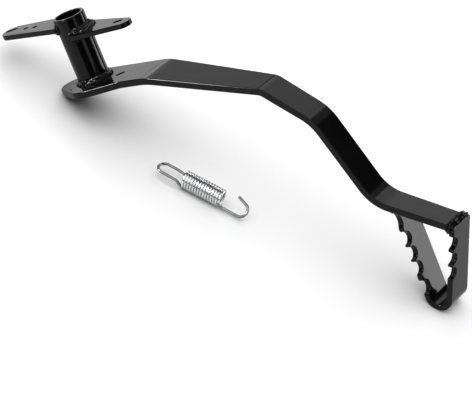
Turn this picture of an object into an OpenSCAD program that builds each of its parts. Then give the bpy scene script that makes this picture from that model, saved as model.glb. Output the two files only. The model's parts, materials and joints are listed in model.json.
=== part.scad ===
// Foot brake pedal of an off-road motorcycle or quad bike, with its loose return spring.
//
// The pedal is drawn upright: its origin is the lower mouth of the pivot bore, the bore runs up +Z
// and the arm leaves along +X. It is then laid down about Y, so that it rests on the edge of its
// boss and on the bottom bend of its toe loop. The spring lies beside it on the same floor.

/* [Pivot tube] */
// Outside diameter of the pivot tube
tube_d = 28; // [26:0.5:30]
// Diameter of the pivot bore
bore_d = 22.4; // [18:0.1:23]
// Length of the pivot tube
tube_len = 66; // [64:1:80]
// Chamfer on the tube's upper rim
rim_chamfer = 0.6; // [0.3:0.1:1]

/* [Arm] */
// Thickness of the flat bar
arm_t = 6; // [5:0.5:7]
// Width of the arm from the boss to its first bend
arm_w_root = 40; // [36:1:42]
// Width of the arm at its second bend
arm_w_mid = 28.5; // [26:0.5:32]
// Distance that the arm's middle line wanders away from the teeth at its second bend
arm_mid_shift = 1.2; // [0:0.1:2]
// Width of the arm at its free end
arm_w_end = 23; // [20:1:25]
// Distance from the bore axis to the first bend
shank_len = 71; // [60:1:80]
// Distance from the first bend to the second
reach_len = 112; // [100:1:130]
// Distance from the second bend to the third
knee_len = 51.5; // [45:0.5:60]
// Distance from the third bend to the fourth
drop_len = 81.5; // [70:0.5:90]
// Distance from the fourth bend to the end of the bar
toe_len = 69; // [60:1:75]
// Angle of the first bend, downwards, in degrees
shank_bend = 14; // [8:0.5:20]
// Angle of the second bend, downwards, in degrees
reach_bend = 26; // [20:0.5:30]
// Angle of the third bend, downwards, in degrees
knee_bend = 30; // [25:0.5:35]
// Angle of the fourth bend, back upwards, in degrees
toe_bend = 45.5; // [40:0.5:50]

/* [Levers] */
// Thickness of the two lever plates
lever_t = 4.5; // [4:0.5:5]
// Height of the brake lever's top face up the tube
brake_lever_z = 60; // [57:0.5:62]
// Distance from the bore axis to the round end of the brake lever
brake_lever_len = 79; // [76:1:85]
// Height of the spring lever's top face up the tube
spring_lever_z = 52; // [48:0.5:53]
// Distance from the bore axis to the round end of the spring lever
spring_lever_len = 63; // [60:1:68]
// Diameter of the two round holes in the brake lever
hole_d = 4.5; // [4:0.1:6]
// Width of the slots at the ends of the levers
slot_w = 4.5; // [4:0.1:5.5]

/* [Toe loop] */
// Thickness of the toothed strip
strip_t = 5; // [4:0.5:6]
// Width of the strip over its teeth
strip_w = 27; // [25:0.5:29]
// Depth of the notches between the teeth
tooth_depth = 6.5; // [4:0.5:7]
// Radius of the notches
notch_r = 5.6; // [5:0.1:6]
// Depth of the loop below the top face of the arm's end
loop_drop = 78.5; // [74:0.5:84]
// Inside radius of the loop's bottom bend
loop_bend_r = 8; // [7:0.5:9]

/* [Return spring] */
// Outside diameter of the coil
coil_d = 16.5; // [15:0.5:18]
// Diameter of the spring wire
wire_d = 2.5; // [2.2:0.1:2.8]
// Number of close turns
turns = 16; // [14:1:18]
// Distance from the coil to the far end of the eye
eye_len = 24.5; // [20:0.5:28]
// Distance from the coil to the far end of the hook
hook_len = 24.5; // [20:0.5:28]

/* [Hidden] */
$fn = 64;

// The arm's straights and bends in order, where a bend's angle is positive downwards
straights = [shank_len, reach_len, knee_len, drop_len, toe_len];
bends = [shank_bend, reach_bend, knee_bend, -toe_bend];
bend_radii = [60, 12, 40, 35];
last = len(straights) - 1;

// How far a straight line cuts into the curve that it runs on into, so that the two cross cleanly
seam = 0.02;

tube_r = tube_d / 2;

// Size of a weld bead's section
weld_r = 4;

// Distance of a lever's root from the bore axis, inside which it follows the tube
lever_root_x = 8;

// The boss is stretched round a heel, a toe and the small corners where it meets the arm's first
// straight, [x, y, radius] each
boss_heel = [-16, -7, 14];
boss_toe = [5, -13, 19];
flare_r = 1;
flare_y = arm_w_root / 2 - flare_r;
boss_flare = [[42, -flare_y, flare_r], [42, flare_y, flare_r], [0, flare_y, flare_r]];

// Small slot through the arm beside the tube
drain_at = [30.3, -0.3];
drain_len = 8.5;
drain_w = 4.2;
drain_turn = 45;

// Radii of the levers' outlines at the tube and at the free end
brake_lever_r = [16, 11];
spring_lever_r = [19, 8];

// Holes and slots of the levers: distance of the round holes from the bore axis, then place, length
// and turn of each slot
brake_holes = [42.5, 53.5];
brake_slot_at = [brake_lever_len - 7.5, -1.5];
brake_slot_len = 11;
brake_slot_turn = 30;
spring_slot_at = [spring_lever_len - 14, 1.5];
spring_slot_len = 9;
spring_slot_turn = 15;

// Edges of the toothed strip across the arm, teeth first
strip_y = [-7.5, strip_w - 7.5];

// Places of the notches along the inner and the outer leg, from the centre of the bottom bend
inner_notches = [9.6, 27.5, 41.2, 55];
outer_notches = [27, 41, 56];

// Shallow notch above the others on the inner leg: height above the bend's centre, radius and depth
top_notch = [72, 12, 2.6];

// Distance that a cutting tool starts before a face and stops behind it
overcut = 1;

// Angle of straight i below the horizontal
function arm_dir(i) = i == 0 ? 0 : arm_dir(i - 1) + bends[i - 1];

// End of straight i as [x, z] on the arm's middle line
function arm_point(i) = (i == 0 ? [0, arm_t / 2] : arm_point(i - 1))
    + straights[i] * [cos(arm_dir(i)), -sin(arm_dir(i))];

// Upward normal of something that points down by an angle
function normal(angle) = [sin(angle), cos(angle)];

// The outer leg of the loop stands square to the arm's end, which leans it by this angle
lean = arm_dir(last);
along = [cos(lean), -sin(lean)];
upward = normal(lean);
arm_end = arm_point(last);
arm_end_top = arm_end + upward * arm_t / 2;

// Centre of the loop's bottom bend, where the outer leg's outer face touches the bend's outside
loop_outer_r = loop_bend_r + strip_t;
outer_face = arm_end_top + along * strip_t;
loop_z = arm_end_top[1] - loop_drop + loop_outer_r;
loop_x = outer_face[0] - (loop_outer_r + (outer_face[1] - loop_z) * sin(lean)) / cos(lean);
outer_leg_gap = 4;
outer_leg_len = (outer_face - [loop_x, loop_z]) * upward - outer_leg_gap;

// Laid down, the boss's heel and the loop's bend are equally low
heel_edge = [boss_heel[0] - boss_heel[2], 0];
heel_to_loop = [loop_x, loop_z] - heel_edge;
lay_angle = asin(loop_outer_r / norm(heel_to_loop)) - atan2(heel_to_loop[1], heel_to_loop[0]);
floor_z = heel_edge[0] * sin(lay_angle);

// The spring's place on the floor: the eye end of its coil, and its turn from the X axis
spring_at = [116.9, -35.4];
spring_turn = 4;
coil_r = coil_d / 2;
coil_mean_r = coil_r - wire_d / 2;
coil_len = turns * wire_d;

// Close turns press on each other, so each is drawn a little fatter than its wire
turn_squeeze = 1.06;

// The wire swells by this much in its bends, and its straights reach this far into them
bend_swell = 0.1;
rod_root = 0.5;

// Mean radii of the wire's bends in the eye and the hook, and the hook's turn, tip and roll
eye_mean_r = 6.2;
hook_mean_r = 6;
hook_turn = 160;
hook_tip_len = 9.5;
hook_tilt = 45;

// Ends of the line along circles a and b, [x, y, r] each, on the right of a to b
function tangent(a, b) =
    let (run = [b[0] - a[0], b[1] - a[1]])
    let (way = atan2(run[1], run[0]) - acos((a[2] - b[2]) / norm(run)))
    [for (c = [a, b]) [c[0], c[1]] + (c[2] - seam) * [cos(way), sin(way)]];

// Outline stretched round a ring of circles [x, y, r], listed anticlockwise
module round_outline(ring) {
    for (c = ring) translate([c[0], c[1]]) circle(r = c[2]);
    polygon([for (i = [0 : len(ring) - 1]) each tangent(ring[i], ring[(i + 1) % len(ring)])]);
}

// Slot with round ends, with its middle at a point
module slot(at, length, width, turn) {
    half = (length - width) / 2;
    translate(at) rotate(turn) round_outline([[-half, 0, width / 2], [half, 0, width / 2]]);
}

// What lies between a circle round the origin and the corner of its tangents at bend i
module bend_corner(i, r) {
    reach = 1.04 * r;
    half = abs(bends[i]) / 2;
    difference() {
        polygon([[0, 0], reach * [-sin(half), cos(half)], [0, reach / cos(half)],
                 reach * [sin(half), cos(half)]]);
        circle(r = r + seam);
    }
}

// Puts a shape at the centre of bend i, with its +Y towards the outside of the bend
module at_bend(i) {
    down = sign(bends[i]);
    middle = arm_dir(i) + bends[i] / 2;
    offset = down * bend_radii[i] / cos(bends[i] / 2);
    translate(arm_point(i) - offset * normal(middle))
        rotate(down > 0 ? -middle : 180 - middle) children();
}

// Corner of the arm's side view at the end of straight i, on its upper or lower face
function arm_corner(i, side) = arm_point(i)
    + side * arm_t / 2 / cos(bends[i] / 2) * normal(arm_dir(i) + bends[i] / 2);

// Side view of the arm
module arm_profile() {
    edge = upward * arm_t / 2;
    difference() {
        union() {
            polygon([[0, 0], for (i = [0 : last - 1]) arm_corner(i, -1), arm_end - edge, arm_end + edge,
                     for (i = [last - 1 : -1 : 0]) arm_corner(i, 1), [0, arm_t]]);
            for (i = [0 : last - 1]) at_bend(i) bend_corner(i, bend_radii[i] - arm_t / 2);
        }
        for (i = [0 : last - 1]) at_bend(i) bend_corner(i, bend_radii[i] + arm_t / 2);
    }
}

// Outline of the loop at a radius round its bottom bend, up to a height along its outer leg
module loop_outline(r, height) {
    side = r - seam;
    outer = side * along + height * upward;
    circle(r = r);
    polygon([[0, 0], side * along, outer, outer - (outer[0] + side) / along[0] * along, [-side, 0]]);
}

// Side view of the loop, cut off under the arm
module loop_profile() {
    difference() {
        translate([loop_x, loop_z]) difference() {
            loop_outline(loop_outer_r, outer_leg_len);
            loop_outline(loop_bend_r + seam, outer_leg_len + strip_t);
        }
        arm_profile();
    }
}

// Stands a side view up in the XZ plane and gives it a width from y1 to y2
module across(y1, y2) {
    translate([0, y2, 0]) rotate([90, 0, 0]) linear_extrude(y2 - y1) children();
}

// Lays a finished piece of the pedal down on the floor
module laid_down() {
    rotate([0, -lay_angle, 0]) children();
}

// Puts a piece of the spring, drawn along +X from the origin, on the floor
module on_floor() {
    translate([spring_at[0], spring_at[1], floor_z + coil_r]) rotate([0, 0, spring_turn]) children();
}

// Quarter-round weld bead round the tube, with its corner at height z and growing up or down
module tube_bead(z, up, from, to) {
    rotate(from) rotate_extrude(angle = to - from) intersection() {
        translate([tube_r, z]) circle(r = weld_r);
        translate([tube_r, up ? z : z - weld_r]) square(weld_r);
    }
}

// Lever plate that grows along +X from the side of the tube, with its openings as children
module lever_plate(length, radii, top_z) {
    translate([0, 0, top_z - lever_t]) linear_extrude(lever_t) difference() {
        round_outline([[0, 0, radii[0]], [length - radii[1], 0, radii[1]]]);
        translate([lever_root_x - length, -length]) square([length, 2 * length]);
        circle(r = tube_r);
        children();
    }
}

// Beads above and below a lever's root
module lever_beads(top_z, way) {
    half = acos(lever_root_x / tube_r);
    tube_bead(top_z, true, way - half, way + half);
    tube_bead(top_z - lever_t, false, way - half, way + half);
}

// Puts the side view of a bead across the strip, as far as the arm is wide
module loop_bead() {
    color("#141416") laid_down() across(strip_y[0], arm_w_end / 2) children();
}

// Quarter-round side view of a bead in a square corner
module square_corner_bead(at, turn) {
    translate(at) rotate(turn) intersection() {
        circle(r = weld_r);
        square(weld_r);
    }
}

// Straight wire in the XY plane from the end of a bend, in which it starts a little way back
module rod(from, way, length) {
    translate([from[0], from[1], 0]) rotate([0, 0, way]) translate([-rod_root, 0, 0])
        rotate([0, 90, 0]) cylinder(d = wire_d, h = length + rod_root);
}

// Round bend of the wire in the XY plane
module wire_bend(at, r, from, to) {
    translate([at[0], at[1], 0]) rotate(from) rotate_extrude(angle = to - from)
        translate([r, 0]) circle(d = wire_d + bend_swell);
}

module pivot_tube() {
    bore_r = bore_d / 2;
    color("#141416") laid_down() rotate_extrude() polygon([
        [bore_r, 0], [tube_r, 0], [tube_r, tube_len - rim_chamfer], [tube_r - rim_chamfer, tube_len],
        [bore_r + rim_chamfer, tube_len], [bore_r, tube_len - rim_chamfer]]);
}

module pedal_arm() {
    root = arm_w_root / 2;
    mid = [arm_mid_shift - arm_w_mid / 2, arm_mid_shift + arm_w_mid / 2];
    tip = arm_w_end / 2;
    reach = loop_x + loop_drop;
    color("#141416") laid_down() difference() {
        union() {
            intersection() {
                across(-root, root) arm_profile();
                translate([0, 0, -reach]) linear_extrude(2 * reach) polygon([
                    [0, -root], [shank_len, -root], [arm_point(1)[0], mid[0]], [arm_end[0], -tip],
                    [reach, -tip], [reach, tip], [arm_end[0], tip], [arm_point(1)[0], mid[1]],
                    [shank_len, root], [0, root]]);
            }
            linear_extrude(arm_t) round_outline([boss_heel, boss_toe, each boss_flare]);
        }
        translate([0, 0, -overcut]) linear_extrude(arm_t + 2 * overcut) {
            circle(r = tube_r);
            slot(drain_at, drain_len, drain_w, drain_turn);
        }
    }
}

module brake_lever() {
    color("#141416") laid_down() rotate([0, 0, 180])
        lever_plate(brake_lever_len, brake_lever_r, brake_lever_z) {
            for (x = brake_holes) translate([x, 0]) circle(d = hole_d);
            slot(brake_slot_at, brake_slot_len, slot_w, brake_slot_turn);
        }
}

module spring_lever() {
    color("#141416") laid_down() lever_plate(spring_lever_len, spring_lever_r, spring_lever_z)
        slot(spring_slot_at, spring_slot_len, slot_w, spring_slot_turn);
}

// Cutters for the notches of one leg, which stands on the loop's centre with its near face at x
module notches(x, heights, r, depth) {
    for (z = heights) translate([x - overcut, strip_y[0] + depth - r, z])
        rotate([0, 90, 0]) cylinder(r = r, h = strip_t + 2 * overcut);
}

module toe_loop() {
    color("#141416") laid_down() difference() {
        across(strip_y[0], strip_y[1]) loop_profile();
        translate([loop_x, 0, loop_z]) {
            notches(-loop_outer_r, inner_notches, notch_r, tooth_depth);
            notches(-loop_outer_r, [top_notch[0]], top_notch[1], top_notch[2]);
            rotate([0, lean, 0]) notches(loop_bend_r, outer_notches, notch_r, tooth_depth);
        }
    }
}

module tube_weld() {
    color("#141416") laid_down() tube_bead(arm_t, true, 0, 360);
}

module brake_lever_weld() {
    color("#141416") laid_down() lever_beads(brake_lever_z, 180);
}

module spring_lever_weld() {
    color("#141416") laid_down() lever_beads(spring_lever_z, 0);
}

module loop_inner_weld() {
    under = arm_end - upward * arm_t / 2;
    leg = [loop_x - loop_outer_r, loop_x - loop_bend_r];
    loop_bead() difference() {
        for (x = leg) translate([x, under[1] + (under[0] - x) * tan(lean)]) circle(r = weld_r);
        arm_profile();
        loop_profile();
    }
}

module loop_outer_weld() {
    loop_bead() {
        square_corner_bead(arm_end_top - upward * outer_leg_gap, -lean);
        square_corner_bead(arm_end_top - upward * arm_t, 180 - lean);
    }
}

module spring_coil() {
    color("#c8ccd0") on_floor() rotate([0, 90, 0]) rotate_extrude()
        intersection() {
            for (i = [0 : turns - 1])
                translate([coil_mean_r, (i + 0.5) * wire_d]) circle(d = wire_d * turn_squeeze);
            square([coil_d, coil_len]);
        }
}

module spring_eye() {
    turn_x = -(eye_len - wire_d / 2 - eye_mean_r);
    color("#c8ccd0") on_floor() {
        for (side = [-1, 1]) rod([turn_x, side * eye_mean_r], 0, -turn_x);
        wire_bend([turn_x, 0], eye_mean_r, 90, 270);
    }
}

module spring_hook() {
    straight = hook_len - wire_d / 2 - hook_mean_r;
    centre = [coil_len + straight, hook_mean_r - coil_mean_r];
    bend_end = hook_turn - 90;
    color("#c8ccd0") on_floor() rotate([hook_tilt, 0, 0]) {
        rod([centre[0], -coil_mean_r], 180, straight);
        wire_bend(centre, hook_mean_r, -90, bend_end);
        rod(centre + hook_mean_r * [cos(bend_end), sin(bend_end)], hook_turn, hook_tip_len);
    }
}

pivot_tube();
pedal_arm();
brake_lever();
spring_lever();
toe_loop();
tube_weld();
brake_lever_weld();
spring_lever_weld();
loop_inner_weld();
loop_outer_weld();
spring_coil();
spring_eye();
spring_hook();
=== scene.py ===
"""Looks for the welded foot brake pedal and its loose return spring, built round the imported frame.

Lengths in this script are millimetres in the upright pedal's own axes: origin in the middle of the
pivot bore's lower mouth, +Z up the bore, +X along the arm. laid() turns them into metres in the
frame, where the pedal lies on the floor.
"""
import json
import math
import random

import bmesh
import bpy
from mathutils import Matrix, Vector, noise
from mathutils.geometry import tessellate_polygon


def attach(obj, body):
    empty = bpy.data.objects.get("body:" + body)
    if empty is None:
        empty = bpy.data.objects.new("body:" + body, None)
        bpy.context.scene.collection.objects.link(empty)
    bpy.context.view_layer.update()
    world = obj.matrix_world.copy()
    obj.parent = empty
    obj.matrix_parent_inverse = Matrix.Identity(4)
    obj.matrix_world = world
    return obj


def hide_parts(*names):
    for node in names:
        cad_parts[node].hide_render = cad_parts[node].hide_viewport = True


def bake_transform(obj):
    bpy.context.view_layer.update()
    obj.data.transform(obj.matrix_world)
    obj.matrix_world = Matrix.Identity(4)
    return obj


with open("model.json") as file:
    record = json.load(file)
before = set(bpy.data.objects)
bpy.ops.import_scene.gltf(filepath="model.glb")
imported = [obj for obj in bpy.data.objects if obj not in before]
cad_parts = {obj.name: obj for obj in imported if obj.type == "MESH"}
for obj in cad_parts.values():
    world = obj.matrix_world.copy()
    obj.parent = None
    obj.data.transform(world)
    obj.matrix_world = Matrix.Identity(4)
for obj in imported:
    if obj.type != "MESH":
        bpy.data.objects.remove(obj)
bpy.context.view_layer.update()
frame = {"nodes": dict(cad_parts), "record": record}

# The pedal's pose on the floor
LAY = math.radians(38.6485)
FLOOR_Z = -18.736

# Flat bar: straights, bends (positive downwards) and bend radii on the middle line
ARM_T = 6.0
STRAIGHTS = (71.0, 112.0, 51.5, 81.5, 69.0)
BENDS = (14.0, 26.0, 30.0, -45.5)
RADII = (60.0, 12.0, 40.0, 35.0)
LEAN = math.radians(sum(BENDS))

# Bar in plan: (x, middle line's y, half width) at the ends of its tapers
ARM_WIDTHS = ((71.0, 0.0, 20.0), (179.67, 1.2, 14.25), (309.8, 0.0, 11.5))

# The boss is stretched round circles (x, y, r), and the bar's own edges take over a little further on
BOSS = ((-16, -7, 14), (5, -13, 19), (42, -19, 1), (42, 19, 1), (0, 19, 1))
BAR_START = 44

# Slots: (x, y, length, width, turn in degrees)
DRAIN_SLOT = (30.3, -0.3, 8.5, 4.2, 45)

TUBE_R = 14.0
BORE_R = 11.2
TUBE_LEN = 66.0

# Plates' rounded edges: how many facets, how far a sharp corner may run out, and the width of a
# hole's rim as a share of the plate's own
EDGE_STEPS = 4
LONGEST_MITRE = 1 / 0.45
HOLE_RIM = 0.3

# Levers: outline is (length from the bore axis, radius at the tube, radius at the tip)
LEVER_T = 4.5
LEVER_ROOT_X = 8.0
BRAKE_LEVER_TOP = 60.0
BRAKE_LEVER = (79, 16, 11)
BRAKE_HOLES = (42.5, 53.5)
BRAKE_HOLE_R = 2.25
BRAKE_SLOT = (71.5, -1.5, 11, 4.5, 30)
SPRING_LEVER_TOP = 52.0
SPRING_LEVER = (63, 19, 8)
SPRING_SLOT = (49, 1.5, 9, 4.5, 15)

# Toe loop: its strip across the arm, the middle of its bottom bend, and its legs up from there
STRIP_T = 5.0
STRIP_NEAR = -7.5
STRIP_FAR = 19.5
LOOP_X = 272.39
LOOP_Z = -225.17
LOOP_R = 8.0
OUTER_LEG = 71.6
INNER_TOP = 82.7
TOP_CORNER_R = 3.2

# The inner leg's top is cut slanting: from here up, over a length in which the slant grows to full
SLANT_START = 62
SLANT_RUN = 18

# Notches up the inner and the outer leg; the shallow one is (height, radius, depth)
INNER_NOTCHES = (9.6, 27.5, 41.2, 55.0)
OUTER_NOTCHES = (27.0, 41.0, 56.0)
TOP_NOTCH = (72.0, 12.0, 2.6)
NOTCH_R = 5.6
TIP_R = 2.2
NOTCH_DEPTH = 6.5
NOTCH_Y = STRIP_NEAR + NOTCH_DEPTH - NOTCH_R

# Spring: its place and turn on the floor, coil, and wire ends. The coil's wire is a little thin, so
# that light shows between its turns.
SPRING_AT = (116.9, -35.4)
SPRING_TURN = math.radians(4)
COIL_R = 8.25
WIRE_R = 1.25
COIL_WIRE_R = 1.13
COIL_MEAN_R = COIL_R - WIRE_R
COIL_LEN = 40.0
TURNS = 16
END_WIRE_R = WIRE_R * 0.985
EYE_R = 6.2
EYE_LEN = 24.5
EYE_ANGLE = math.radians(180)
HOOK_R = 6.0
HOOK_LEN = 24.5
HOOK_ANGLE = math.radians(225)
HOOK_TILT = math.radians(45)
HOOK_TURN = 160
WIRE_SIDES = 16
LEAD_STEPS = 14


def laid(p):
    """Point of the upright pedal, in metres in the frame."""
    x, y, z = p
    return Vector((x * math.cos(LAY) - z * math.sin(LAY), y,
                   x * math.sin(LAY) + z * math.cos(LAY))) / 1000


def on_floor(p):
    """Point of the spring, drawn along +X from the eye end of its coil, in metres in the frame."""
    x, y, z = p
    c, s = math.cos(SPRING_TURN), math.sin(SPRING_TURN)
    return Vector((SPRING_AT[0] + x * c - y * s, SPRING_AT[1] + x * s + y * c,
                   FLOOR_Z + COIL_R + z)) / 1000


# ---------------------------------------------------------------- materials

ENAMEL_IOR = 1.34


def new_material(name):
    """A new material with its nodes, its links and its shader."""
    m = bpy.data.materials.new(name)
    m.use_nodes = True
    return m, m.node_tree.nodes, m.node_tree.links, m.node_tree.nodes["Principled BSDF"]


def noise_node(nodes, links, scale, detail, distortion=0.0):
    """Noise in the object's own space; scale is features per metre, roughly."""
    coords = nodes.get("coords") or nodes.new("ShaderNodeTexCoord")
    coords.name = "coords"
    n = nodes.new("ShaderNodeTexNoise")
    n.inputs["Scale"].default_value = scale
    n.inputs["Detail"].default_value = detail
    n.inputs["Distortion"].default_value = distortion
    links.new(coords.outputs["Object"], n.inputs["Vector"])
    return n.outputs["Fac"]


def ramp(nodes, links, source, low, high, a, b):
    """Colour that runs from a to b while source runs from low to high."""
    r = nodes.new("ShaderNodeValToRGB")
    r.color_ramp.elements[0].position, r.color_ramp.elements[1].position = low, high
    r.color_ramp.elements[0].color = (*a, 1)
    r.color_ramp.elements[1].color = (*b, 1)
    links.new(source, r.inputs["Fac"])
    return r.outputs["Color"]


def spread(nodes, links, source, low, high, a, b):
    """Number that runs from a to b while source runs from low to high."""
    m = nodes.new("ShaderNodeMapRange")
    for key, value in (("From Min", low), ("From Max", high), ("To Min", a), ("To Max", b)):
        m.inputs[key].default_value = value
    links.new(source, m.inputs["Value"])
    return m.outputs["Result"]


def bump(nodes, links, source, strength, distance, under=None):
    """Bumps up to a distance in metres, on top of other bumps if there are any."""
    b = nodes.new("ShaderNodeBump")
    b.inputs["Strength"].default_value = strength
    b.inputs["Distance"].default_value = distance
    links.new(source, b.inputs["Height"])
    if under:
        links.new(under, b.inputs["Normal"])
    return b.outputs["Normal"]


def paint_material():
    """Gloss black enamel: faint orange peel, a slow waviness, and dust that dulls it in patches."""
    m, nodes, links, shader = new_material("black_enamel")
    cloud = noise_node(nodes, links, 38, 5, 0.4)
    dust = noise_node(nodes, links, 900, 6)
    peel = noise_node(nodes, links, 620, 3)
    wave = noise_node(nodes, links, 70, 2)
    links.new(ramp(nodes, links, cloud, 0.35, 0.7, (0.0024, 0.0025, 0.0027),
                   (0.0052, 0.0052, 0.0050)), shader.inputs["Base Color"])
    rough = nodes.new("ShaderNodeMath")
    rough.operation = "ADD"
    links.new(spread(nodes, links, cloud, 0.3, 0.75, 0.07, 0.12), rough.inputs[0])
    links.new(spread(nodes, links, dust, 0.5, 0.8, 0.0, 0.08), rough.inputs[1])
    links.new(rough.outputs[0], shader.inputs["Roughness"])
    normal = bump(nodes, links, wave, 0.10, 0.0010)
    links.new(bump(nodes, links, peel, 0.10, 0.00020, normal), shader.inputs["Normal"])
    shader.inputs["IOR"].default_value = ENAMEL_IOR
    return m


def weld_material():
    """The same enamel over weld metal: glossier in the hollows, with small pits and ripples."""
    m, nodes, links, shader = new_material("black_enamel_weld")
    cloud = noise_node(nodes, links, 160, 4, 0.6)
    pits = noise_node(nodes, links, 520, 5, 0.8)
    links.new(ramp(nodes, links, cloud, 0.3, 0.7, (0.0024, 0.0025, 0.0027),
                   (0.0060, 0.0058, 0.0055)), shader.inputs["Base Color"])
    links.new(spread(nodes, links, pits, 0.3, 0.7, 0.05, 0.13), shader.inputs["Roughness"])
    normal = bump(nodes, links, cloud, 0.45, 0.0012)
    links.new(bump(nodes, links, pits, 0.25, 0.0004, normal), shader.inputs["Normal"])
    shader.inputs["IOR"].default_value = ENAMEL_IOR
    return m


def wire_material(name, dull, bright):
    """Bright zinc on drawn wire: cloudy brightness, fine drawing marks and duller patches."""
    m, nodes, links, shader = new_material(name)
    cloud = noise_node(nodes, links, 180, 4, 0.5)
    marks = noise_node(nodes, links, 2600, 3, 1.5)
    links.new(ramp(nodes, links, cloud, 0.3, 0.72, dull, bright), shader.inputs["Base Color"])
    links.new(spread(nodes, links, cloud, 0.3, 0.75, 0.26, 0.14), shader.inputs["Roughness"])
    links.new(bump(nodes, links, marks, 0.12, 0.00012), shader.inputs["Normal"])
    shader.inputs["Metallic"].default_value = 1.0
    return m


def floor_material():
    """Pale matt floor with a faint cloudiness."""
    m, nodes, links, shader = new_material("pale_floor")
    grain = noise_node(nodes, links, 6, 3)
    links.new(ramp(nodes, links, grain, 0.3, 0.7, (0.86, 0.86, 0.86), (0.88, 0.88, 0.88)),
              shader.inputs["Base Color"])
    shader.inputs["Roughness"].default_value = 0.95
    shader.inputs["Specular IOR Level"].default_value = 0.05
    return m


PAINT = paint_material()
WELD = weld_material()
# One zinc wire in two copies, lit and shaded: the coil's base colour is raised as painted light,
# standing for its bright reflections, and the eye's and hook's base colour is lowered as painted shade,
# standing for their dark reflections.
ZINC_PAINTED_LIGHT = wire_material("zinc_coil_painted_light", (0.60, 0.605, 0.62), (0.84, 0.84, 0.835))
ZINC_PAINTED_SHADE = wire_material("zinc_ends_painted_shade", (0.20, 0.205, 0.215), (0.36, 0.36, 0.355))
SLOTS = {"black_paint": PAINT, "zinc_plate": ZINC_PAINTED_LIGHT}


# ---------------------------------------------------------------- mesh helpers

def finish_piece(bm, name, material, node, body, weighted=True):
    """Turns a bmesh into a shaded piece that stands for a CAD node. A piece without a body is left
    without a parent."""
    bmesh.ops.recalc_face_normals(bm, faces=bm.faces)
    mesh = bpy.data.meshes.new(name)
    bm.to_mesh(mesh)
    bm.free()
    mesh.shade_smooth()
    mesh.materials.append(material)
    obj = bpy.data.objects.new(name, mesh)
    bpy.context.scene.collection.objects.link(obj)
    if weighted:
        obj.modifiers.new("weighted", "WEIGHTED_NORMAL").weight = 90
    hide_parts(node)
    if body:
        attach(obj, body)
    return obj


def arc(cx, cy, r, start, end, steps):
    """Points on a circle from one angle to another, in radians, both ends included."""
    return [(cx + r * math.cos(start + (end - start) * k / steps),
             cy + r * math.sin(start + (end - start) * k / steps)) for k in range(steps + 1)]


def outline(ring, step):
    """Anticlockwise outline stretched round circles (x, y, r), with points a step apart or closer."""
    points, n = [], len(ring)
    way = []
    for i in range(n):
        (ax, ay, ar), (bx, by, br) = ring[i], ring[(i + 1) % n]
        run = math.hypot(bx - ax, by - ay)
        way.append(math.atan2(by - ay, bx - ax) - math.acos((ar - br) / run))
    for i in range(n):
        start, end = way[i - 1], way[i]
        while end < start:
            end += 2 * math.pi
        x, y, r = ring[i]
        steps = max(3, math.ceil(r * (end - start) / step), math.ceil((end - start) / 0.12))
        points += arc(x, y, r, start, end, steps)
    return points


def slot_hole(x, y, length, width, turn):
    """Clockwise outline of a slot with round ends, turned by an angle in degrees."""
    half = (length - width) / 2
    c, s = math.cos(math.radians(turn)), math.sin(math.radians(turn))
    ring = [(x - half * c, y - half * s, width / 2), (x + half * c, y + half * s, width / 2)]
    return outline(ring, 0.5)[::-1]


def round_hole(x, y, r, steps):
    """Clockwise outline of a round hole."""
    return arc(x, y, r, 2 * math.pi, 2 * math.pi / steps, steps - 1)


def tidy(loop, least=0.02):
    """A loop without points that sit on top of each other."""
    kept = []
    for p in loop:
        if not kept or math.dist(p, kept[-1]) > least:
            kept.append(p)
    return kept if math.dist(kept[0], kept[-1]) > least else kept[:-1]


def inset_loop(loop, distance):
    """A loop moved into the material, which lies on its left. Sharp corners move no further than
    LONGEST_MITRE times the distance."""
    if distance == 0:
        return list(loop)
    moved, n = [], len(loop)
    for i in range(n):
        (ax, ay), (bx, by), (cx, cy) = loop[i - 1], loop[i], loop[(i + 1) % n]
        d1 = Vector((bx - ax, by - ay)).normalized()
        d2 = Vector((cx - bx, cy - by)).normalized()
        n1, n2 = Vector((-d1.y, d1.x)), Vector((-d2.y, d2.x))
        m = (n1 + n2).normalized()
        reach = distance / max(m.dot(n1), 1 / LONGEST_MITRE)
        moved.append((bx + m.x * reach, by + m.y * reach))
    return moved


def plate(loops, thickness, edge, place, cuts=()):
    """Flat plate with rounded edges. Its outlines are in a plane, its outer one anticlockwise and its
    holes clockwise, with crisper rims; place() then puts each point (u, v, height from the middle)
    where it belongs."""
    loops = [tidy(loop) for loop in loops]
    half = thickness / 2
    quarter = [math.pi / 2 * k / EDGE_STEPS for k in range(EDGE_STEPS + 1)]
    rounds = [(edge * (1 - math.cos(a)), half - edge * (1 - math.sin(a))) for a in quarter]
    rings = [(inset, -height) for inset, height in reversed(rounds)] + rounds
    bm = bmesh.new()
    made = []
    for inset, height in rings:
        made.append([[bm.verts.new((u, v, height))
                      for u, v in inset_loop(loop, inset * (HOLE_RIM if k else 1))]
                     for k, loop in enumerate(loops)])
    for low, high in zip(made, made[1:]):
        for a, b in zip(low, high):
            for i in range(len(a)):
                j = (i + 1) % len(a)
                bm.faces.new((a[i], a[j], b[j], b[i]))
    for ring, up in ((made[0], False), (made[-1], True)):
        flat = [v for loop in ring for v in loop]
        triangles = tessellate_polygon([[v.co for v in loop] for loop in ring])
        for t in triangles:
            a, b, c = (flat[k] for k in t)
            rising = (b.co - a.co).cross(c.co - a.co).z > 0
            bm.faces.new((a, b, c) if rising == up else (a, c, b))
    for u in cuts:
        bmesh.ops.bisect_plane(bm, geom=bm.verts[:] + bm.edges[:] + bm.faces[:], dist=1e-5,
                               plane_co=(u, 0, 0), plane_no=(1, 0, 0))
    for v in bm.verts:
        v.co = place(*v.co)
    return bm


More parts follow.
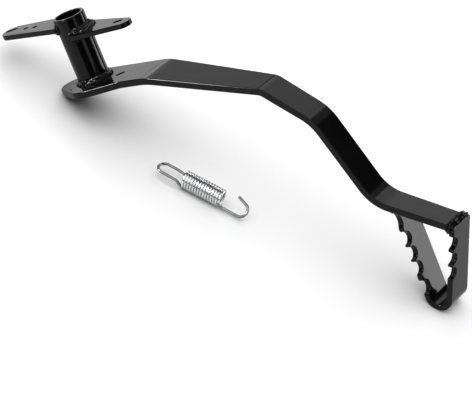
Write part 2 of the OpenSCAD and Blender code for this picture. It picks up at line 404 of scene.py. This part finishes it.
def lathe(profile, segments):
    """Surface turned round Z from a closed profile (r, z)."""
    bm = bmesh.new()
    rings = []
    for k in range(segments):
        a = 2 * math.pi * k / segments
        rings.append([bm.verts.new(laid((r * math.cos(a), r * math.sin(a), z))) for r, z in profile])
    for k in range(segments):
        a, b = rings[k], rings[(k + 1) % segments]
        for i in range(len(profile)):
            j = (i + 1) % len(profile)
            bm.faces.new((a[i], a[j], b[j], b[i]))
    return bm


def sweep(bm, path, radius, rim=0.0):
    """Spring wire along a path. A rim rounds its ends."""
    points = [Vector(p) for p in path]
    n = len(points)
    tangents = []
    for i in range(n):
        tangents.append((points[min(i + 1, n - 1)] - points[max(i - 1, 0)]).normalized())
    side = tangents[0].orthogonal().normalized()
    frames = []
    for tangent in tangents:
        side = (side - tangent * side.dot(tangent)).normalized()
        frames.append((side.copy(), tangent.cross(side)))

    def ring(i, scale=1.0, shift=0.0):
        a_side, b_side = frames[i]
        r = radius * scale
        made = []
        for k in range(WIRE_SIDES):
            a = 2 * math.pi * k / WIRE_SIDES
            out = a_side * (r * math.cos(a)) + b_side * (r * math.sin(a))
            made.append(bm.verts.new(on_floor(points[i] + tangents[i] * shift + out)))
        return made

    rings = [ring(i) for i in range(n)]
    if rim:
        caps = [(0.93, 0.35 * rim), (0.72, 0.8 * rim), (0.35, rim)]
        rings = ([ring(0, s, -d) for s, d in reversed(caps)] + rings
                 + [ring(n - 1, s, d) for s, d in caps])
    for a, b in zip(rings, rings[1:]):
        for k in range(WIRE_SIDES):
            j = (k + 1) % WIRE_SIDES
            bm.faces.new((a[k], a[j], b[j], b[k]))
    bm.faces.new(rings[0][::-1])
    bm.faces.new(rings[-1])


# ---------------------------------------------------------------- the arm

def arm_route():
    """The bar's middle line as pieces (start length, length, x, z, angle, bend per length)."""
    pieces, s, x, z, a = [], 0.0, 0.0, ARM_T / 2, 0.0
    set_backs = [r * math.tan(math.radians(abs(b)) / 2) for r, b in zip(RADII, BENDS)]
    for i, straight in enumerate(STRAIGHTS):
        length = straight - (set_backs[i - 1] if i else 0) - (set_backs[i] if i < len(BENDS) else 0)
        pieces.append((s, length, x, z, a, 0.0))
        x, z, s = x + length * math.cos(a), z - length * math.sin(a), s + length
        if i < len(BENDS):
            turn, r = math.radians(BENDS[i]), RADII[i]
            curve = math.copysign(1 / r, turn)
            pieces.append((s, abs(turn) * r, x, z, a, curve))
            x += (math.sin(a + turn) - math.sin(a)) / curve
            z += (math.cos(a + turn) - math.cos(a)) / curve
            s, a = s + abs(turn) * r, a + turn
    return pieces, s


ROUTE, ARM_LEN = arm_route()


def arm_frame(s):
    """Middle-line point and downward angle at a length along the bar; before 0 it runs straight on."""
    start, _, x, z, a, curve = [p for p in ROUTE if p[0] <= max(s, 0)][-1]
    run = s - start
    if curve == 0:
        return x + run * math.cos(a), z - run * math.sin(a), a
    b = a + run * curve
    return (x + (math.sin(b) - math.sin(a)) / curve, z + (math.cos(b) - math.cos(a)) / curve, b)


def place_arm(s, y, h):
    """Point of the bar, at a length along it, across it and above its middle."""
    x, z, a = arm_frame(s)
    return laid((x + h * math.sin(a), y, z + h * math.cos(a)))


def arm_edge(s, side):
    """Edge of the bar across, at a length along it. Its plan tapers in two steps."""
    x = arm_frame(s)[0]
    stations = [(at, middle + half * side) for at, middle, half in ARM_WIDTHS]
    for (xa, ya), (xb, yb) in zip(stations, stations[1:]):
        if x <= xb:
            return ya + (yb - ya) * max(0.0, (x - xa) / (xb - xa))
    return stations[-1][1]


def build_arm():
    """Flat bar with its boss, drawn flat and then bent."""
    # the boss's outline from its far side, round the heel, to where the bar's near edge begins
    boss = outline(BOSS, 1.2)
    start = min(range(len(boss)), key=lambda i: math.dist(boss[i], (0, 20)))
    boss = boss[start:] + boss[:start]
    near = [p for p in boss if p[0] < 42.0 or p[1] < -19.9]
    near = [p for p in near if not (p[1] > 19.5 and p[0] > 1)]
    steps = [BAR_START + (ARM_LEN - BAR_START) * k / 150 for k in range(151)]
    loop = (near + [(s, arm_edge(s, -1)) for s in steps]
            + [(s, arm_edge(s, 1)) for s in reversed(steps)])
    # cross cuts let the bends curve, one about every 2 degrees, and keep the straights' faces short
    cuts = []
    for s, length, _, _, _, curve in ROUTE:
        if curve:
            n = max(6, round(math.degrees(length * abs(curve)) / 2))
            cuts += [s + length * k / n for k in range(n + 1)]
        else:
            cuts += [s + length * k / 3 for k in (1, 2)]
    holes = [round_hole(0, 0, TUBE_R, 96), slot_hole(*DRAIN_SLOT)]
    bm = plate([loop] + holes, ARM_T, 0.9, place_arm, cuts)
    finish_piece(bm, "arm_flat_bar", PAINT, "pedal_arm", "pedal")


# ---------------------------------------------------------------- tube and levers

def build_tube():
    """Pivot tube, with a wider rounding on its upper rim."""
    rim, edge = 0.75, 0.4
    profile = []
    for r, z, cx, cz, a in ((BORE_R, 0, edge, edge, 180), (TUBE_R, 0, -edge, edge, 270),
                            (TUBE_R, TUBE_LEN, -rim, -rim, 0), (BORE_R, TUBE_LEN, rim, -rim, 90)):
        size = abs(cx)
        profile += arc(r + cx, z + cz, size, math.radians(a), math.radians(a + 90), 4)
    bm = lathe(profile, 144)
    finish_piece(bm, "pivot_tube_turned", PAINT, "pivot_tube", "pedal")


def lever_loop(length, root_r, tip_r):
    """Outline of a lever that grows along +X, coped round the tube."""
    whole = outline([(0, 0, root_r), (length - tip_r, 0, tip_r)], 0.8)
    blade = [p for p in whole if p[0] >= LEVER_ROOT_X + 0.01]
    cut = min(range(len(blade)), key=lambda i: (blade[i][1] > 0, blade[i][0]))
    blade = blade[cut:] + blade[:cut]
    run = length - tip_r
    slope = math.acos((root_r - tip_r) / run)
    edge_y = (root_r - LEVER_ROOT_X * math.cos(slope)) / math.sin(slope)
    cope = math.acos(LEVER_ROOT_X / TUBE_R)
    return ([(LEVER_ROOT_X, -edge_y)] + blade + [(LEVER_ROOT_X, edge_y)]
            + arc(0, 0, TUBE_R, cope, -cope, 24))


def build_levers():
    """The two drilled plates, on opposite sides of the tube and at two heights."""
    def brake(u, v, h):
        return laid((-u, -v, BRAKE_LEVER_TOP - LEVER_T / 2 + h))

    def spring(u, v, h):
        return laid((u, v, SPRING_LEVER_TOP - LEVER_T / 2 + h))

    edge = 0.7
    holes = [round_hole(x, 0, BRAKE_HOLE_R, 36) for x in BRAKE_HOLES]
    bm = plate([lever_loop(*BRAKE_LEVER), *holes, slot_hole(*BRAKE_SLOT)], LEVER_T, edge, brake)
    finish_piece(bm, "brake_lever_plate", PAINT, "brake_lever", "pedal")
    bm = plate([lever_loop(*SPRING_LEVER), slot_hole(*SPRING_SLOT)], LEVER_T, edge, spring)
    finish_piece(bm, "spring_lever_plate", PAINT, "spring_lever", "pedal")


# ---------------------------------------------------------------- the toe loop

BOTTOM_R = LOOP_R + STRIP_T / 2
BOTTOM_TURN = math.pi - LEAN
BOTTOM_LEN = BOTTOM_TURN * BOTTOM_R


def place_strip(s, y, h):
    """Strip's unrolled length s: 0 at the start of the bottom bend, negative up the inner leg. Height
    h is towards the inside of the loop."""
    r = BOTTOM_R - h
    if s <= 0:
        x, z = -r, -s
    elif s <= BOTTOM_LEN:
        a = math.pi + s / BOTTOM_R
        x, z = r * math.cos(a), r * math.sin(a)
    else:
        run = s - BOTTOM_LEN
        x = r * math.cos(LEAN) + run * math.sin(LEAN)
        z = -r * math.sin(LEAN) + run * math.cos(LEAN)
    return laid((LOOP_X + x, y, LOOP_Z + z))


def toothed_edge(notches, start, end):
    """Points along the strip's toothed edge from start to end, with round tips between the notches."""
    height, r, depth = TOP_NOTCH
    half = math.acos((r - depth) / r) * 0.97
    points = [(start, STRIP_NEAR)] + arc(-height, STRIP_NEAR + depth - r, r, math.pi / 2 + half,
                                         math.pi / 2 - half, 16)
    drop = NOTCH_Y - STRIP_NEAR
    for i, s in enumerate(notches):
        for way in (-1, 1):
            j = i + way
            gap = abs(notches[j] - s) / 2 if 0 <= j < len(notches) else math.inf
            full = (gap * gap + drop * drop - NOTCH_R ** 2) / (2 * (NOTCH_R + drop))
            tip = min(TIP_R, full * 0.985)
            rise = drop - tip
            run = math.sqrt((NOTCH_R + tip) ** 2 - rise ** 2)
            cx, cy = s + way * run, STRIP_NEAR + tip
            touch = math.atan2(NOTCH_Y - cy, s - cx)
            if way < 0:
                points += arc(cx, cy, tip, -math.pi / 2, touch, 7)
                entry = math.atan2(cy - NOTCH_Y, cx - s) % (2 * math.pi)
            else:
                leave = math.atan2(cy - NOTCH_Y, cx - s)
                points += arc(s, NOTCH_Y, NOTCH_R, entry, leave, 26)
                points += arc(cx, cy, tip, touch % (2 * math.pi), 1.5 * math.pi, 7)
    return points + [(end, STRIP_NEAR)]


def build_loop():
    """Toothed strip, drawn flat and then bent to a V with a round bottom."""
    inner_top = -INNER_TOP
    outer_top = BOTTOM_LEN + OUTER_LEG
    notches = sorted([-h for h in INNER_NOTCHES] + [BOTTOM_LEN + h for h in OUTER_NOTCHES])
    near = toothed_edge(notches, inner_top, outer_top)
    side = outer_top - TOP_CORNER_R
    far = arc(side, STRIP_FAR - TOP_CORNER_R, TOP_CORNER_R, 0, math.pi / 2, 8)
    far += [(side - (side - inner_top) * k / 58, STRIP_FAR) for k in range(1, 59)]
    # cross cuts round the bottom, and a few up the legs
    cuts = [BOTTOM_LEN * k / 48 for k in range(49)]
    cuts += [-66, -48, -32, -16, BOTTOM_LEN + 18, BOTTOM_LEN + 36]
    # the inner leg's top follows the underside of the arm, a little inside it
    bm = plate([near + far], STRIP_T, 0.8, lambda *p: Vector(p), cuts)
    for v in bm.verts:
        if v.co.x < -SLANT_START:
            share = min(1.0, (-SLANT_START - v.co.x) / SLANT_RUN)
            v.co.x += (v.co.z + STRIP_T / 2) * math.tan(LEAN) * share
        v.co = place_strip(*v.co)
    finish_piece(bm, "toe_loop_strip", PAINT, "toe_loop", "pedal")


# ---------------------------------------------------------------- welds

def lump(bm, p, size, flat=1.0, seed=0.0):
    """One frozen drop of weld, pushed out of round. Flat scales its height."""
    for v in bmesh.ops.create_icosphere(bm, subdivisions=2, radius=1.0)["verts"]:
        d = v.co.normalized()
        r = size * (1 + 0.22 * noise.noise(d * 1.7 + Vector((seed, p[0], p[1]))))
        v.co = laid((p[0] + d.x * r, p[1] + d.y * r, p[2] + d.z * r * flat))


def ring_lumps(bm, rng, z, r, size, start, end, pitch=1.9, jitter=0.25):
    """Drops round the tube from one angle to another, in degrees. Size is a pair when the row swells
    from its ends to its middle."""
    low, high = size if isinstance(size, tuple) else (size, size)
    n = max(2, int(math.radians(end - start) * r / pitch))
    for k in range(n + 1):
        a = math.radians(start + (end - start) * k / n)
        away = r + rng.uniform(-jitter, jitter)
        grown = (low + (high - low) * math.sin(math.pi * k / n)) * rng.uniform(0.84, 1.12)
        lump(bm, (away * math.cos(a), away * math.sin(a), z + rng.uniform(-jitter, jitter)), grown, 0.9,
             rng.uniform(0, 50))


def line_lumps(bm, rng, a, b, size, pitch=1.8, jitter=0.25):
    """Drops along a straight line."""
    a, b = Vector(a), Vector(b)
    n = max(2, int((b - a).length / pitch))
    for k in range(n + 1):
        p = a.lerp(b, k / n)
        p = Vector((q + rng.uniform(-jitter, jitter) for q in p))
        lump(bm, p, size * rng.uniform(0.82, 1.12), 1.0, rng.uniform(0, 50))


def melt(bm, name, node):
    """Joins the drops of a weld into one skin, as a piece of the pedal."""
    obj = finish_piece(bm, name, WELD, node, "pedal", weighted=False)
    skin = obj.modifiers.new("skin", "REMESH")
    skin.mode = "VOXEL"
    skin.voxel_size = 0.00034
    skin.use_smooth_shade = True
    soft = obj.modifiers.new("soft", "SMOOTH")
    soft.factor = 0.5
    soft.iterations = 3


def build_welds():
    """Rows of drops for each bead. A call says where its row runs and how large the drops are; the
    numbers in the for loops are distances from a joint's corner, and sizes."""
    rng = random.Random(11)
    # foot of the tube: low at the back, heavier and doubled in front and on the arm's side
    bm = bmesh.new()
    ring_lumps(bm, rng, ARM_T + 0.5, TUBE_R + 0.6, 1.9, 0, 352)
    ring_lumps(bm, rng, ARM_T + 0.6, TUBE_R + 1.5, (1.7, 2.7), -125, 45)
    ring_lumps(bm, rng, ARM_T + 2.6, TUBE_R + 0.2, (1.2, 1.9), -110, 20, 2.3)
    ring_lumps(bm, rng, ARM_T + 0.1, TUBE_R + 3.4, (0.9, 1.5), -100, 25, 3.4, 0.7)
    for x, y, size in ((-9.5, -22.5, 0.9), (-12.8, -20.4, 0.7), (23.6, -8.4, 0.8), (5.5, -24.5, 0.8),
                       (14.2, -21.6, 0.7)):
        lump(bm, (x, y, ARM_T), size, 0.7)
    melt(bm, "tube_weld_bead", "tube_weld")

    # brake lever: a bead over and under the cope, and its two short ends
    bm = bmesh.new()
    top, under = BRAKE_LEVER_TOP, BRAKE_LEVER_TOP - LEVER_T
    ring_lumps(bm, rng, top - 0.2, TUBE_R + 0.5, 1.7, 128, 232)
    ring_lumps(bm, rng, under - 0.4, TUBE_R + 0.6, 2.2, 126, 240)
    for middle in (124, 236):
        ring_lumps(bm, rng, top - 0.8, TUBE_R + 0.4, 1.6, middle - 8, middle + 8)
        ring_lumps(bm, rng, under + 0.9, TUBE_R + 0.4, 1.8, middle - 9, middle + 9)
    melt(bm, "brake_lever_weld_bead", "brake_lever_weld")

    # spring lever: a heavy, rough fillet on top that runs out along the plate, and one beneath
    bm = bmesh.new()
    top, under = SPRING_LEVER_TOP, SPRING_LEVER_TOP - LEVER_T
    ring_lumps(bm, rng, top + 0.7, TUBE_R + 1.0, (1.8, 2.7), -66, 62, 1.9, 0.35)
    ring_lumps(bm, rng, top + 3.2, TUBE_R + 0.2, (1.2, 2.1), -52, 46, 2.2, 0.45)
    ring_lumps(bm, rng, top + 0.2, TUBE_R + 3.4, (1.4, 2.4), -48, 40, 2.0, 0.5)
    ring_lumps(bm, rng, top - 0.2, TUBE_R + 5.8, (0.8, 1.7), -32, 26, 2.4, 0.6)
    for _ in range(26):
        a, out = math.radians(rng.uniform(-50, 42)), rng.uniform(0.6, 5.6)
        r = TUBE_R + out
        lump(bm, (r * math.cos(a), r * math.sin(a), top + 4.0 - 0.62 * out), rng.uniform(0.6, 1.1), 1.0,
             rng.uniform(0, 50))
    ring_lumps(bm, rng, under - 0.7, TUBE_R + 0.9, (1.7, 2.6), -68, 62, 1.9, 0.35)
    ring_lumps(bm, rng, under - 2.6, TUBE_R + 0.1, (0.9, 1.6), -60, 30, 2.4, 0.5)
    for middle in (-62, 62):
        ring_lumps(bm, rng, top - LEVER_T / 2, TUBE_R + 0.8, 2.3, middle - 9, middle + 9)
    melt(bm, "spring_lever_weld_bead", "spring_lever_weld")

    # toe loop's inner leg, under the arm: both faces of the leg and round its toothed corner
    end_x, end_z, _ = arm_frame(ARM_LEN)
    upward = Vector((math.sin(LEAN), 0, math.cos(LEAN)))
    along = Vector((math.cos(LEAN), 0, -math.sin(LEAN)))
    end = Vector((end_x, 0, end_z))
    under_end = end - upward * (ARM_T / 2)
    near, far = Vector((0, STRIP_NEAR + 1.0, 0)), Vector((0, 9.0, 0))

    def under_arm(x):
        return Vector((x, 0, under_end.z + (under_end.x - x) * math.tan(LEAN)))

    bm = bmesh.new()
    left, right = LOOP_X - LOOP_R - STRIP_T, LOOP_X - LOOP_R
    for x, out, size in ((left, -0.9, 2.3), (left, -2.6, 1.5), (right, 0.7, 1.8)):
        at = under_arm(x + out) - Vector((0, 0, 0.5 if abs(out) > 2 else 1.0))
        line_lumps(bm, rng, at + near, at + far, size)
    at = under_arm(left - 0.2) - Vector((0, 0, 3.2))
    line_lumps(bm, rng, at + near, at + far, 1.2, 2.4)
    line_lumps(bm, rng, under_arm(left + 0.5) + near - Vector((0, 1.0, 1.2)),
               under_arm(right - 0.5) + near - Vector((0, 1.0, 1.2)), 1.5)
    melt(bm, "loop_inner_weld_bead", "loop_inner_weld")

    # toe loop's outer leg on the arm's end: filled in on top, a bead beneath, and both short ends
    bm = bmesh.new()
    corner = end - upward * (ARM_T / 2)
    for back, low, size in ((0.9, 0.9, 2.5), (2.8, 0.4, 1.5), (0.3, 3.2, 1.8)):
        at = corner - along * back - upward * low
        line_lumps(bm, rng, at + near - Vector((0, 0.6, 0)), at + far, size)
    for out, low, size in ((0.6, -1.0, 1.9), (2.4, 0.2, 1.7), (4.0, 1.2, 1.4)):
        at = end + along * out - upward * low
        line_lumps(bm, rng, at + near - Vector((0, 0.8, 0)), at + far + Vector((0, 1.8, 0)), size,
                   1.1, 0.1)
    for y, size in ((STRIP_NEAR + 0.2, 1.7), (11.2, 1.5)):
        start = end + Vector((0, y, 0))
        line_lumps(bm, rng, start + along * 0.2 + upward * 1.8, start - along * 0.4 - upward * 4.6,
                   size)
        line_lumps(bm, rng, start + along * 1.4 + upward * 1.2, start + along * 4.0 - upward * 0.6,
                   size * 0.8)
    wrap = end + Vector((0, 12.2, 0)) - along * 0.4
    line_lumps(bm, rng, wrap + upward * 0.7, wrap + Vector((0, 4.4, 0)) - upward * 0.4, 1.6, 1.2, 0.15)
    line_lumps(bm, rng, wrap - upward * 0.2 + along * 2.6, wrap + Vector((0, 5.6, 0)) - upward * 1.2
               + along * 3.0, 1.4, 1.2, 0.15)
    melt(bm, "loop_outer_weld_bead", "loop_outer_weld")


# ---------------------------------------------------------------- the spring

def hermite(p0, t0, p1, t1):
    """Points of a smooth curve between two points, without them, that leaves and arrives along t."""
    p0, t0, p1, t1 = map(Vector, (p0, t0, p1, t1))
    points = []
    for k in range(1, LEAD_STEPS):
        t = k / LEAD_STEPS
        points.append(p0 * (2 * t ** 3 - 3 * t ** 2 + 1) + t0 * (t ** 3 - 2 * t ** 2 + t)
                      + p1 * (3 * t ** 2 - 2 * t ** 3) + t1 * (t ** 3 - t ** 2))
    return points


def coil_point(x, angle):
    """Point on the coil's middle line, at a distance along the spring."""
    return Vector((x, COIL_MEAN_R * math.cos(angle), COIL_MEAN_R * math.sin(angle)))


def coil_tangent(angle, length):
    """The coil's direction at an angle: round, and a little along the spring."""
    return Vector((0.05, -math.sin(angle), math.cos(angle))) * length


def build_spring():
    """Coil, eye and hook are one wire, drawn as three pieces that meet at the coil's end turns."""
    first = EYE_ANGLE + math.radians(40)
    end_angle = HOOK_ANGLE - math.radians(42)
    last = end_angle + 2 * math.pi * (TURNS - 1)
    x0, x1 = WIRE_R, COIL_LEN - WIRE_R
    steps_a_turn = 48
    n = int((last - first) / (2 * math.pi) * steps_a_turn)
    path = []
    for k in range(n + 1):
        t = k / n
        path.append(coil_point(x0 + (x1 - x0) * t, first + (last - first) * t))
    bm = bmesh.new()
    sweep(bm, path, COIL_WIRE_R)
    coil = finish_piece(bm, "spring_coil_wire", ZINC_PAINTED_LIGHT, "spring_coil", None)
    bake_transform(coil)

    # eye, level with the floor: off the first turn on the -Y side, round, and back to a free end
    r, far = EYE_R, -(EYE_LEN - WIRE_R - EYE_R)
    start = coil_point(x0, first)
    lead = Vector((-3.6, -r - 0.5, 0.0))
    path = [start] + hermite(start, coil_tangent(first, -8.0), lead, (-8.0, 1.2, 0.0)) + [lead]
    path += [Vector((lead.x + (far - lead.x) * k / 10, lead.y + 0.5 * k / 10, 0)) for k in range(1, 10)]
    path += [Vector((far + r * math.cos(a), r * math.sin(a), 0))
             for a in [math.radians(270 - 180 * k / 26) for k in range(27)]]
    path += [Vector((far + (-1.4 - far) * k / 12, r - 0.9 * (k / 12) ** 3, -0.5 * (k / 12) ** 3))
             for k in range(1, 13)]
    bm = bmesh.new()
    sweep(bm, path, END_WIRE_R, rim=0.25)
    finish_piece(bm, "spring_eye_wire", ZINC_PAINTED_SHADE, "spring_eye", "spring")

    # hook, in a tilted plane: off the last turn, straight, round and open
    def tilted(x, y):
        return Vector((x, y * math.cos(HOOK_TILT), y * math.sin(HOOK_TILT)))

    r = HOOK_R
    cx, cy = COIL_LEN + HOOK_LEN - WIRE_R - r, r - COIL_MEAN_R
    start = coil_point(x1, end_angle)
    lead = tilted(COIL_LEN + 2.6, -COIL_MEAN_R)
    path = [start] + hermite(start, coil_tangent(end_angle, 7.5), lead, (7.0, 0, 0)) + [lead]
    path += [tilted(lead.x + (cx - lead.x) * k / 8, -COIL_MEAN_R) for k in range(1, 8)]
    path += [tilted(cx + r * math.cos(a), cy + r * math.sin(a))
             for a in [math.radians(-90 + HOOK_TURN * k / 24) for k in range(25)]]
    out = Vector((math.cos(math.radians(HOOK_TURN)), math.sin(math.radians(HOOK_TURN))))
    bend = path[-1]
    path += [bend + tilted(out.x * d, out.y * d) for d in (1.5, 3, 4.5, 6, 7.5, 9.2)]
    bm = bmesh.new()
    sweep(bm, path, END_WIRE_R, rim=0.25)
    finish_piece(bm, "spring_hook_wire", ZINC_PAINTED_SHADE, "spring_hook", "spring_end")


# ---------------------------------------------------------------- stage

# Lights and camera are placed in metres in the frame; most lights look at the part's middle
MIDDLE = (0.16, 0.0, 0.02)


def softbox(name, place, target, width, height, radiance, gloss_only=False):
    """Rectangular light that looks from its place at a target; radiance is what a mirror would see.
    A card that is there for the gloss alone lights nothing and throws no shadow."""
    data = bpy.data.lights.new(name, "AREA")
    data.shape = "RECTANGLE"
    data.size, data.size_y = width, height
    data.energy = radiance * math.pi * width * height
    obj = bpy.data.objects.new(name, data)
    bpy.context.scene.collection.objects.link(obj)
    obj.visible_diffuse = not gloss_only
    obj.location = place
    obj.rotation_euler = (Vector(place) - Vector(target)).to_track_quat("Z", "Y").to_euler()


def build_stage():
    """White floor under an even soft sky; what the gloss shows comes from boxes and cards."""
    scene = bpy.context.scene
    bm = bmesh.new()
    bmesh.ops.create_grid(bm, x_segments=8, y_segments=8, size=6.0)
    for v in bm.verts:
        v.co.z = FLOOR_Z / 1000
    mesh = bpy.data.meshes.new("floor")
    bm.to_mesh(mesh)
    bm.free()
    mesh.materials.append(floor_material())
    floor = bpy.data.objects.new("floor", mesh)
    scene.collection.objects.link(floor)

    world = bpy.data.worlds.new("studio")
    world.use_nodes = True
    background = world.node_tree.nodes["Background"]
    background.inputs["Color"].default_value = (1.0, 1.0, 1.0, 1.0)
    background.inputs["Strength"].default_value = 0.05
    scene.world = world

    sky = bpy.data.lights.new("sky_fill", "SUN")
    sky.energy = 3.5
    sky.angle = math.radians(100)
    fill = bpy.data.objects.new("sky_fill", sky)
    scene.collection.objects.link(fill)
    fill.visible_glossy = False
    softbox("soft_top", (0.15, -0.88, 1.45), (0.15, -0.3, 0.0), 3.0, 2.2, 1.45, True)
    softbox("soft_back_left", (-0.55, 1.19, 0.99), MIDDLE, 1.35, 0.95, 1.75)
    softbox("soft_back", (0.28, 1.24, 1.18), MIDDLE, 0.5, 0.8, 0.45)
    softbox("card_low_left", (-0.47, 0.38, 0.12), (0.11, -0.09, 0.05), 0.44, 0.26, 0.9, True)
    softbox("card_low_right", (1.22, 0.86, 0.23), MIDDLE, 1.2, 0.42, 5.4, True)
    softbox("card_right", (1.25, -0.45, 0.42), MIDDLE, 0.5, 0.5, 1.5, True)
    softbox("card_front", (-0.30, -1.20, 0.55), MIDDLE, 1.3, 0.5, 1.45, True)
    softbox("spark_left", (-0.95, -0.50, 0.66), (0.0, 0.0, 0.05), 0.3, 0.2, 120.0, True)

    scene.view_settings.view_transform = "Standard"
    scene.view_settings.gamma = 0.86


def build_camera():
    """Long lens at the photograph's angle: right, up and back in the frame, and the eye 2.5 m off."""
    right = Vector((0.817976, 0.541242, 0.194866))
    up = Vector((-0.484348, 0.465236, 0.740920))
    back = Vector((0.310358, -0.700437, 0.642701))
    data = bpy.data.cameras.new("camera")
    data.sensor_width = 36.0
    data.lens = 222.97
    data.clip_end = 30.0
    camera = bpy.data.objects.new("camera", data)
    bpy.context.scene.collection.objects.link(camera)
    aside, below, away = 0.121028, 0.10813, 2.5
    eye = laid((0, 0, ARM_T)) + right * aside - up * below + back * away
    turn = Matrix((right, up, back)).transposed().to_4x4()
    camera.matrix_world = Matrix.Translation(eye) @ turn
    bpy.context.scene.camera = camera


for node, obj in frame["nodes"].items():
    slot_name = next(s["material_slot"] for s in frame["record"]["subparts"] if s["node"] == node)
    obj.data.materials.clear()
    obj.data.materials.append(SLOTS[slot_name])

build_camera()
build_stage()
build_arm()
build_tube()
build_levers()
build_loop()
build_welds()
build_spring()
